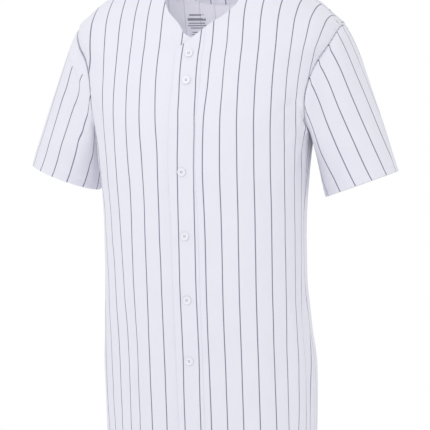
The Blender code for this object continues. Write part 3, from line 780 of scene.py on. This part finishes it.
def dressed_sleeve(side):
    """Fine sleeve, opened along its underarm seam, its seam allowance tucked under the body."""
    grid = sleeve_grid(side)
    normals = tube_normals(grid)
    grid = np.concatenate([grid, grid[:, :1]], 1)
    normals = np.concatenate([normals, normals[:, :1]], 1)
    down = run_of(grid, 0)
    round_ = run_of(grid, 1)
    # Distance round the arm from the top line, to the front, without what runs along the arm
    cuff = CUFFS[side]
    sign = 1 if side == "left" else -1
    arm = np.array([math.sin(cuff.lean) * sign, 0, -math.cos(cuff.lean)])
    gaps = np.diff(grid, axis=1)
    gaps = gaps - (gaps @ arm)[..., None] * arm
    across = np.concatenate([np.zeros((len(grid), 1)), np.cumsum(np.linalg.norm(gaps, axis=-1), 1)], 1)
    across = across[:, ARMHOLE_ROWS : ARMHOLE_ROWS + 1] - across
    # Round the back the stripes keep to planes through the arm
    spokes = grid - grid[-1, :-1].mean(0)
    spokes = spokes - (spokes @ arm)[..., None] * arm
    turn = np.unwrap(np.arctan2(spokes[..., 1], spokes[..., 0] * sign), axis=1)
    turn = turn - turn[:, ARMHOLE_ROWS : ARMHOLE_ROWS + 1]
    straight = np.interp(turn, turn[-1], across[-1])
    across = across + step((-across - 0.015) / 0.035) * (straight - across)
    to_cuff = down[-1:] - down
    to_seam = np.minimum(round_, round_[:, -1:] - round_)
    form = creased("sleeve_" + side, across, down) + rippled(across, down, 41)
    form = form * fade(to_seam) * fade(down) * step(to_cuff / 0.03)
    form = form + puckered(round_, down, 51) + puckered(down, to_seam, 52)
    form = form + stitched(to_cuff, CUFF_LINE)
    grid = grid + normals * form[..., None]
    grid = pulled_in(pulled_in(grid, column=0), column=-1)
    back = (grid[:1] - grid[1:2]) / np.linalg.norm(grid[:1] - grid[1:2], axis=-1, keepdims=True)
    tucked = [grid[:1] + back * far - normals[:1] * deep for far, deep in ((0.003, 0.0044), (0.0015, 0.0025))]
    grid = np.concatenate([*tucked, grid])
    # Distance from the seams, which sets the painted seam shade
    near = np.minimum(down + closed_seam(grid[2:, :, 2], sign), to_seam)
    return grid, *(np.concatenate([rows[:1], rows[:1], rows]) for rows in (normals, across, down, near))


# Pattern of stripes: where it lies across each piece, counted in stripes
PITCH = 0.028


def counted(across, first):
    return (across - first) / PITCH


# Where stripes run out of the straight: from start to full and from fall to end across, by height
Drift = namedtuple("Drift", "z shift")
Wander = namedtuple("Wander", "panel start full fall end heights")
PLACKET_DRIFT = ((-0.83, -0.0026), (-0.74, -0.0019), (-0.63, -0.0032), (-0.52, -0.0025), (-0.41, -0.0038))
PLACKET_DRIFT += ((-0.33, -0.0065), (-0.26, -0.007), (-0.22, -0.0049), (-0.17, -0.0018), (0, -0.0025))
LEFT_DRIFT = ((-0.8, 0.002), (-0.56, 0.0026), (-0.42, 0.0018), (-0.2, 0.0002), (-0.13, -0.0005))
LEFT_DRIFT += ((-0.05, 0.003),)
LEFT_SIDE_DRIFT = ((-0.79, 0.034), (-0.7, 0.027), (-0.64, 0.022), (-0.59, 0.018), (-0.54, 0.012))
LEFT_SIDE_DRIFT += ((-0.48, 0.0075), (-0.38, 0.007), (-0.26, 0.011), (-0.2, 0.018), (-0.14, 0.016))
LEFT_SIDE_DRIFT += ((-0.1, 0.009), (-0.05, 0.007))
RIGHT_SIDE_DRIFT = ((-0.84, 0.036), (-0.75, 0.032), (-0.64, 0.031), (-0.54, 0.023), (-0.432, 0.01))
RIGHT_SIDE_DRIFT += ((-0.35, 0),)
RIGHT_SHOULDER_DRIFT = ((-0.44, 0), (-0.36, -0.014), (-0.3, -0.032), (-0.24, -0.05), (-0.19, -0.052))
RIGHT_SHOULDER_DRIFT += ((-0.166, -0.044), (-0.134, -0.034), (-0.093, -0.028), (-0.067, -0.022))
RIGHT_SHOULDER_DRIFT += ((-0.03, -0.02),)
WANDERS = columns(
    Wander,
    ("placket", -1, -0.9, 1, 2, PLACKET_DRIFT),
    ("left", -1, -0.9, 1, 2, LEFT_DRIFT),
    ("left", 0.15, 0.24, 1, 2, LEFT_SIDE_DRIFT),
    ("left", 0.228, 0.295, 1, 2, ((-0.2, 0), (-0.15, -0.045), (-0.05, -0.045))),
    ("right", 0.085, 0.175, 1, 2, RIGHT_SIDE_DRIFT),
    ("right", 0.02, 0.045, 0.07, 0.115, ((-0.3, 0), (-0.2, -0.004), (-0.09, -0.005), (0.02, -0.009))),
    ("right", 0.05, 0.095, 0.115, 0.15, ((-0.35, 0.001), (-0.27, -0.0035), (-0.2, -0.002), (-0.15, 0))),
    ("right", 0.165, 0.245, 1, 2, RIGHT_SHOULDER_DRIFT),
    ("right", 0.215, 0.3, 1, 2, ((-0.16, 0), (-0.12, -0.055), (-0.05, -0.055))),
    ("sleeve_right", 0.085, 0.107, 0.109, 0.13, ((-0.075, 0), (-0.044, -0.0041), (-0.02, 0.001), (0, 0))),
    ("sleeve_right", 0.108, 0.128, 1, 2, ((-0.1, -0.001), (-0.062, -0.0045), (-0.022, -0.011), (0, -0.008))),
)


def wandered(panel, u, z):
    total = np.zeros(np.shape(u))
    for wander in WANDERS:
        if wander.panel == panel:
            share = step((u - wander.start) / (wander.full - wander.start))
            share = share * (1 - step((u - wander.fall) / (wander.end - wander.fall)))
            total = total + share * smooth(columns(Drift, *wander.heights), "z", "shift", z)
    return total


# Where the first stripe of a sleeve lies, from the top line to the front, and its slant by the distance down
SleeveStripes = namedtuple("SleeveStripes", "first pitch slant")
LEFT_SLANT = ((0, 0), (0.008, -0.0035), (0.02, -0.0025), (0.045, 0.0011), (0.08, 0.0061), (0.12, 0.0132))
LEFT_SLANT += ((0.16, 0.0201), (0.24, 0.032), (0.4, 0.052))
RIGHT_SLANT = ((0, 0), (0.008, -0.003), (0.02, -0.002), (0.035, 0), (0.066, 0.0015), (0.097, 0.0066))
RIGHT_SLANT += ((0.129, 0.011), (0.162, 0.0147), (0.4, 0.026))
BARE_FROM = 0.034
BARE_TO = 0.012
SLEEVE_STRIPES = {
    "left": SleeveStripes(0.046, 0.0255, LEFT_SLANT),
    "right": SleeveStripes(0.079, 0.0266, RIGHT_SLANT),
}


# Building in Blender
def colour_of(*parts):
    """Linear colour of an sRGB one given from 0 to 255."""
    parts = np.array(parts) / 255
    made = np.where(parts <= 0.04045, parts / 12.92, ((parts + 0.055) / 1.055) ** 2.4)
    return (*made.tolist(), 1.0)


def new_material(name, roughness, sheen=0.0, specular=0.5):
    material = bpy.data.materials.new(name)
    material.use_nodes = True
    shader = material.node_tree.nodes["Principled BSDF"]
    shader.inputs["Roughness"].default_value = roughness
    shader.inputs["Sheen Weight"].default_value = sheen
    shader.inputs["Sheen Roughness"].default_value = 0.45
    shader.inputs["Specular IOR Level"].default_value = specular
    return material, material.node_tree, shader


def fed(tree, socket, value):
    """A socket set to a constant, or joined to another node's output."""
    if isinstance(value, (int, float, tuple)):
        socket.default_value = value
    else:
        tree.links.new(value, socket)


def sum_node(tree, kind, *values):
    node = tree.nodes.new("ShaderNodeMath")
    node.operation = kind
    for socket, value in zip(node.inputs, values):
        fed(tree, socket, value)
    return node.outputs[0]


def mixed(tree, share, first, second):
    node = tree.nodes.new("ShaderNodeMix")
    node.data_type = "RGBA"
    for socket, value in ((0, share), (6, first), (7, second)):
        fed(tree, node.inputs[socket], value)
    return node.outputs[2]


def ramp(tree, value, start, end, low, high, kind="LINEAR"):
    """A value that goes from low to high while another goes from start to end."""
    node = tree.nodes.new("ShaderNodeMapRange")
    node.interpolation_type = kind
    for socket, setting in zip(node.inputs, (value, start, end, low, high)):
        fed(tree, socket, setting)
    return node.outputs[0]


def pattern_of(tree):
    """Stripe count across, metres along, metres from a seam, and all three."""
    read = tree.nodes.new("ShaderNodeAttribute")
    read.attribute_name = "pattern"
    split = tree.nodes.new("ShaderNodeSeparateXYZ")
    tree.links.new(read.outputs["Vector"], split.inputs[0])
    return *split.outputs, read.outputs["Vector"]


def noise_node(tree, vector, scale, detail=2.0):
    stretch = tree.nodes.new("ShaderNodeMapping")
    stretch.vector_type = "POINT"
    stretch.inputs["Scale"].default_value = (PITCH, 1, 1)
    tree.links.new(vector, stretch.inputs[0])
    node = tree.nodes.new("ShaderNodeTexNoise")
    node.inputs["Scale"].default_value = scale
    node.inputs["Detail"].default_value = detail
    tree.links.new(stretch.outputs[0], node.inputs["Vector"])
    return node.outputs[0]


def surfaced(tree, shader, uneven, roughness, height, strength, depth):
    """Roughness that follows one value, and bump that follows another."""
    rough = ramp(tree, uneven, 0.0, 1.0, roughness - 0.06, roughness + 0.06)
    tree.links.new(rough, shader.inputs["Roughness"])
    bump = tree.nodes.new("ShaderNodeBump")
    bump.inputs["Strength"].default_value = strength
    bump.inputs["Distance"].default_value = depth
    tree.links.new(height, bump.inputs["Height"])
    tree.links.new(bump.outputs[0], shader.inputs["Normal"])


def cloth_material(name, ground, shade, stripe, stripe_strength):
    material, tree, shader = new_material(name, 0.78, sheen=0.12, specular=0.25)
    count, along, near, vector = pattern_of(tree)
    cloud = noise_node(tree, vector, 22)
    grain = noise_node(tree, vector, 900, 1.0)
    # Distance from the nearest stripe, in metres, its edge a little ragged
    part = sum_node(tree, "FRACT", sum_node(tree, "ADD", count, 100.5))
    off = sum_node(tree, "ABSOLUTE", sum_node(tree, "SUBTRACT", part, 0.5))
    off = sum_node(tree, "MULTIPLY", off, PITCH)
    off = sum_node(tree, "ADD", off, sum_node(tree, "MULTIPLY_ADD", grain, 0.0004, -0.0002))
    start = STRIPE_HALF - STRIPE_SOFT
    printed = ramp(tree, off, start, STRIPE_HALF + STRIPE_SOFT, stripe_strength, 0.0, "SMOOTHSTEP")
    bare = tree.nodes.new("ShaderNodeAttribute")
    bare.attribute_name = "bare"
    printed = sum_node(tree, "MULTIPLY", printed, sum_node(tree, "SUBTRACT", 1, bare.outputs["Fac"]))
    # Painted shade: the colour darkens towards the stripe colour close to a seam
    painted_seam_shade_share = ramp(tree, near, 0.0, SEAM_SHADE, PAINTED_SEAM_SHADE_STRENGTH, 0.0)
    base = mixed(tree, painted_seam_shade_share, mixed(tree, cloud, ground, shade), stripe)
    tree.links.new(mixed(tree, printed, base, stripe), shader.inputs["Base Color"])
    # Wales and courses of the knit
    wale = sum_node(tree, "SINE", sum_node(tree, "MULTIPLY", count, PITCH * 2 * math.pi / KNIT))
    course = sum_node(tree, "SINE", sum_node(tree, "MULTIPLY", along, 2 * math.pi / KNIT))
    knit = sum_node(tree, "MULTIPLY_ADD", sum_node(tree, "MULTIPLY", wale, course), 0.35, grain)
    surfaced(tree, shader, cloud, 0.79, knit, 0.25, 0.0003)
    return material


def plain_material(name, light, dark, roughness, scale, depth, **looks):
    """A material over the object's own coordinates, uneven in colour, roughness and height."""
    material, tree, shader = new_material(name, roughness, **looks)
    place = tree.nodes.new("ShaderNodeTexCoord")
    node = tree.nodes.new("ShaderNodeTexNoise")
    node.inputs["Scale"].default_value = scale
    tree.links.new(place.outputs["Object"], node.inputs["Vector"])
    tree.links.new(mixed(tree, node.outputs[0], light, dark), shader.inputs["Base Color"])
    surfaced(tree, shader, node.outputs[0], roughness, node.outputs[0], 0.3, depth)
    return material


STRIPE_HALF = 0.00085
STRIPE_SOFT = 0.0005
KNIT = 0.0011
RIGHT_SIDE = cloth_material(
    "striped_cloth", colour_of(224, 224, 233), colour_of(220, 220, 230), colour_of(62, 64, 100), 0.84
)
# The wrong side's faint stripes are its own print; its ground, lighter than the right side's, is painted
# light that lifts the dim inside
WRONG_SIDE = cloth_material(
    "cloth_wrong_side", colour_of(240, 239, 245), colour_of(234, 233, 241), colour_of(160, 160, 178), 0.35
)
THREAD = plain_material(
    "white_thread", colour_of(240, 240, 247), colour_of(226, 226, 236), 0.6, 400, 0.0001, sheen=0.2
)
BUTTON = plain_material("pearl_button", colour_of(232, 232, 238), colour_of(222, 222, 230), 0.3, 260, 0.00005)
PRINT = plain_material("label_print", colour_of(150, 150, 160), colour_of(132, 132, 144), 0.7, 500, 0.00005)
FLOOR = plain_material("studio_floor", colour_of(246, 246, 248), colour_of(242, 242, 245), 0.8, 3, 0.0001)


def finished(obj, slot, *nodes):
    """The piece rides on the body and stands for its solids; slot is not used."""
    if nodes:
        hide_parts(*nodes)
    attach(obj, "root")
    return obj


def new_object(name, points, faces, materials):
    mesh = bpy.data.meshes.new(name)
    mesh.from_pydata(points.tolist(), [], faces)
    for material in materials:
        mesh.materials.append(material)
    obj = bpy.data.objects.new(name, mesh)
    bpy.context.scene.collection.objects.link(obj)
    return obj


def cloth_object(name, points, normals, pattern, wall, materials, node):
    """Two layers of cloth and the rim between them, its outer layer first."""
    rows, columns = points.shape[:2]
    layers = np.concatenate(
        [(points + normals * wall / 2).reshape(-1, 3), (points - normals * wall / 2).reshape(-1, 3)]
    )
    index = np.arange(rows * columns).reshape(rows, columns)
    quads = np.stack([index[:-1, :-1], index[:-1, 1:], index[1:, 1:], index[1:, :-1]], -1).reshape(-1, 4)
    below = rows * columns
    edge = np.concatenate([index[0, :-1], index[:-1, -1], index[-1, :0:-1], index[:0:-1, 0]])
    following = np.roll(edge, -1)
    rim = np.stack([edge, following, following + below, edge + below], -1)
    faces = np.concatenate([quads, quads[:, ::-1] + below, rim])
    obj = new_object(name, layers, faces.tolist(), materials)
    mesh = obj.data
    slots = np.zeros(len(faces), np.int32)
    slots[len(quads) : 2 * len(quads)] = 1
    mesh.polygons.foreach_set("material_index", slots)
    mesh.polygons.foreach_set("use_smooth", np.ones(len(faces), bool))
    work = bmesh.new()
    work.from_mesh(mesh)
    bmesh.ops.recalc_face_normals(work, faces=work.faces)
    work.to_mesh(mesh)
    work.free()
    mesh.set_sharp_from_angle(angle=math.radians(55))
    point_attribute(obj, "pattern", "FLOAT_VECTOR", pattern)
    return finished(obj, "cloth", node)


def inset(points, normals, away, down=False, far=False):
    """The line at a distance in from a grid's first or last row or column, and its normals."""
    both = np.concatenate([points, normals], -1)
    if not down:
        both = both.swapaxes(0, 1)
    if far:
        both = both[:, ::-1]
    run = run_of(both[..., :3], 1)
    line = np.array([[np.interp(away, run[i], row[:, k]) for k in range(6)] for i, row in enumerate(both)])
    return line[:, :3], line[:, 3:]


TOP = WALL / 2
STITCH = 0.0032
STITCH_LONG = 0.0024
STITCH_HALF = 0.00028


def along_line(place, run, values):
    return np.array([np.interp(place, run, values[:, k]) for k in range(3)])


def stitches(name, lines):
    """Short lengths of thread along lines on a cloth, each half sunk in it."""
    turn = np.arange(5) * 2 * math.pi / 5
    ring = np.stack([np.zeros(5), np.cos(turn) * STITCH_HALF, np.sin(turn) * STITCH_HALF], -1)
    long = np.array([[STITCH_LONG / 2, 0, 0]])
    shape = np.concatenate([-long, ring - long * 0.56, ring + long * 0.56, long])
    sides = []
    for k, n in zip(range(5), (1, 2, 3, 4, 0)):
        sides += [(0, 1 + n, 1 + k), (1 + k, 1 + n, 6 + n, 6 + k), (11, 6 + k, 6 + n)]
    points = []
    faces = []
    for line, normals in lines:
        run = np.concatenate([[0], np.cumsum(np.linalg.norm(np.diff(line, axis=0), axis=1))])
        for place in np.arange(STITCH, run[-1] - STITCH, STITCH):
            at = along_line(place, run, line)
            ahead = along_line(place + 0.001, run, line)
            out = along_line(place, run, normals)
            out = out / np.linalg.norm(out)
            ahead = (ahead - at) / np.linalg.norm(ahead - at)
            faces += [[len(points) + k for k in side] for side in sides]
            points += list(at + out * TOP + shape @ np.array([ahead, np.cross(ahead, out), out]))
    obj = new_object(name, np.array(points), faces, [THREAD])
    obj.data.polygons.foreach_set("use_smooth", np.ones(len(faces), bool))
    return finished(obj, "cloth")


MIRROR = np.array([-1.0, 1.0, 1.0])
CLOTHS = [RIGHT_SIDE, WRONG_SIDE]

def point_attribute(obj, name, kind, values):
    flat = np.concatenate([values.ravel()] * 2).astype(np.float32)
    place = "vector" if kind == "FLOAT_VECTOR" else "value"
    obj.data.attributes.new(name, kind, "POINT").data.foreach_set(place, flat)


points, normals, u, z, up, near = dressed_front(PLACKET_HALF, LAYER_OUT, 1, 61)
pattern = np.stack([counted(u + wandered("left", u, z), 0.0368), up, near], -1)
left = cloth_object("front_left_cloth", points, normals, pattern, WALL, CLOTHS, "front_left")
left_thread = stitches("front_left_thread", [inset(points, normals, HEM_LINE)])

points, normals, u, z, up, near = dressed_front(-PLACKET_HALF, -LAYER_OUT, -1, 71)
points = points * MIRROR
normals = normals * MIRROR
pattern = np.stack([counted(u + wandered("right", u, z), 0.0170), up, near], -1)
right = cloth_object("front_right_cloth", points, normals, pattern, WALL, CLOTHS, "front_right")
right_thread = stitches("front_right_thread", [inset(points, normals, HEM_LINE)])

points, normals, u, z, up = dressed_placket()
pattern = np.stack([(u + wandered("placket", u, z)) / 0.0284 + 0.5, up, np.full(u.shape, 0.05)], -1)
placket = cloth_object("placket_cloth", points, normals, pattern, WALL, CLOTHS, "placket")
placket_lines = [
    inset(points, normals, 0.0050, down=True),
    inset(points, normals, 0.0030, down=True, far=True),
    inset(points, normals, HEM_LINE),
]
placket_thread = stitches("placket_thread", placket_lines)

back_points, back_normals, u, up, near = dressed_back()
pattern = np.stack([counted(u, 0.0140), up, near], -1)
back = cloth_object("back_cloth", back_points, back_normals, pattern, WALL, CLOTHS, "back")
back_thread = stitches("back_thread", [inset(back_points, back_normals, HEM_LINE)])

# The facing follows the back's upper rows inside the neck
rows = slice(-1 - FACING_ROWS, None)
inside = np.abs(u[-1]) < NECK_HALF
normals = back_normals[rows, inside]
points = back_points[rows, inside] - normals * (WALL / 2 + SEAM_GAP + FACING_WALL / 2)
points = pulled_in(points, row=-1)
u = u[rows, inside]
pattern = np.stack([counted(u, 0.0080), up[rows, inside], np.full(u.shape, 0.05)], -1)
facing = cloth_object(
    "back_neck_facing_cloth", points, normals, pattern, FACING_WALL, CLOTHS[::-1], "back_neck_facing"
)

sleeves = []
for side in CUFFS:
    points, normals, across, down, near = dressed_sleeve(side)
    stripes = SLEEVE_STRIPES[side]
    slant = smooth(columns(Drift, *stripes.slant), "z", "shift", down)
    slant = slant + wandered("sleeve_" + side, across, -down)
    # High on the right sleeve the print starts below the seam
    bare = step((BARE_FROM - (BARE_FROM - BARE_TO) * step((across - 0.07) / 0.05) - down) / 0.003)
    bare = bare * (side == "right") * step(across / 0.02) * (1 - step((across - 0.12) / 0.01))
    pattern = np.stack([(across + slant - stripes.first) / stripes.pitch, down, near], -1)
    obj = cloth_object("sleeve_%s_cloth" % side, points, normals, pattern, WALL, CLOTHS, "sleeve_" + side)
    point_attribute(obj, "bare", "FLOAT", bare)
    sleeves.append((obj, stitches("sleeve_%s_thread" % side, [inset(points, normals, CUFF_LINE, far=True)])))


def label_bars():
    """Plain bars printed inside the back neck, each as (drop, width, height)."""
    bars = ((0.0, 0.026, 0.0026), (0.0068, 0.033, 0.0045), (0.015, 0.03, 0.0016), (0.0192, 0.033, 0.0016))
    bars += ((0.0234, 0.024, 0.0016), (0.031, 0.02, 0.0016), (0.035, 0.024, 0.0016), (0.04, 0.014, 0.0045))
    points = []
    faces = []
    for drop, width, tall in bars:
        start = len(points)
        for z in (LABEL_TOP - drop, LABEL_TOP - drop - tall):
            for x in np.linspace(LABEL_X - width / 2, LABEL_X + width / 2, 9):
                near = np.hypot(back_points[..., 0] - x, back_points[..., 2] - z).argmin()
                place = back_points.reshape(-1, 3)[near]
                normal = back_normals.reshape(-1, 3)[near]
                slip = normal[0] * (x - place[0]) + normal[2] * (z - place[2])
                points.append(np.array([x, place[1] - slip / normal[1], z]) - normal * (TOP + 0.00015))
        faces += [(start + k, start + k + 1, start + k + 10, start + k + 9) for k in range(8)]
    return finished(new_object("neck_label_bars", np.array(points), faces, [PRINT]), "cloth")


label = label_bars()

for name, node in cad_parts.items():
    if name.startswith("button"):
        node.data.materials.clear()
        node.data.materials.append(BUTTON)

# Each piece as it was cut, in metres, its area, what it lies on and what is on it
CUTS = [
    (left, 0.250, 0.835, 0.175, [], [left_thread]),
    (right, 0.295, 0.835, 0.205, [], [right_thread]),
    (placket, 0.048, 0.750, 0.034, ["front_right_cloth"], [placket_thread]),
    (back, 0.540, 0.840, 0.400, [], [back_thread, label]),
    (facing, 0.190, 0.030, 0.0037, ["back_cloth"], []),
]
CUTS += [(sleeve, 0.470, 0.330, 0.112, [], [thread]) for sleeve, thread in sleeves]

# Studio
turn = np.arange(96) * 2 * math.pi / 96
disc = np.stack([np.cos(turn), np.sin(turn), np.zeros(96)], -1) * 2.2
floor = new_object("studio_floor", disc, [list(range(96))], [FLOOR])
floor.location = (0, 0, -1.5)

world = bpy.data.worlds.new("studio")
bpy.context.scene.world = world
world.use_nodes = True
world.node_tree.nodes["Background"].inputs["Color"].default_value = (1, 1, 1, 1)
world.node_tree.nodes["Background"].inputs["Strength"].default_value = 1.0


def area_light(name, place, aim, size, power):
    light = bpy.data.lights.new(name, "AREA")
    light.shape = "DISK"
    light.size = size
    light.energy = power
    obj = bpy.data.objects.new(name, light)
    obj.location = place
    obj.rotation_euler = (Vector(aim) - Vector(place)).to_track_quat("-Z", "Y").to_euler()
    bpy.context.scene.collection.objects.link(obj)


area_light("key", (-0.45, -1.6, 0.6), (0, 0, -0.25), 1.2, 4.2)
area_light("front_fill", (0.5, -2.2, -0.05), (-0.1, 0, -0.3), 0.8, 2.4)
area_light("inside_fill", (0.0, -0.02, -0.42), (-0.03, 0.08, 0.0), 0.16, 0.25)

TARGET = Vector((0, 0, -0.413))
AZIMUTH = math.radians(17.0)
ELEVATION = math.radians(5.0)
camera_data = bpy.data.cameras.new("camera")
camera_data.lens = 143.5
camera_data.sensor_width = 36.0
camera = bpy.data.objects.new("camera", camera_data)
level_away = Vector((math.sin(AZIMUTH), -math.cos(AZIMUTH), 0))
away = level_away * math.cos(ELEVATION) + Vector((0, 0, math.sin(ELEVATION)))
aside = Vector((math.cos(AZIMUTH), math.sin(AZIMUTH), 0)) * 0.0105
camera.location = TARGET + away * 3.0 + aside
camera.rotation_euler = (-away).to_track_quat("-Z", "Y").to_euler()
bpy.context.scene.collection.objects.link(camera)
bpy.context.scene.camera = camera
bpy.context.scene.view_settings.view_transform = "Standard"
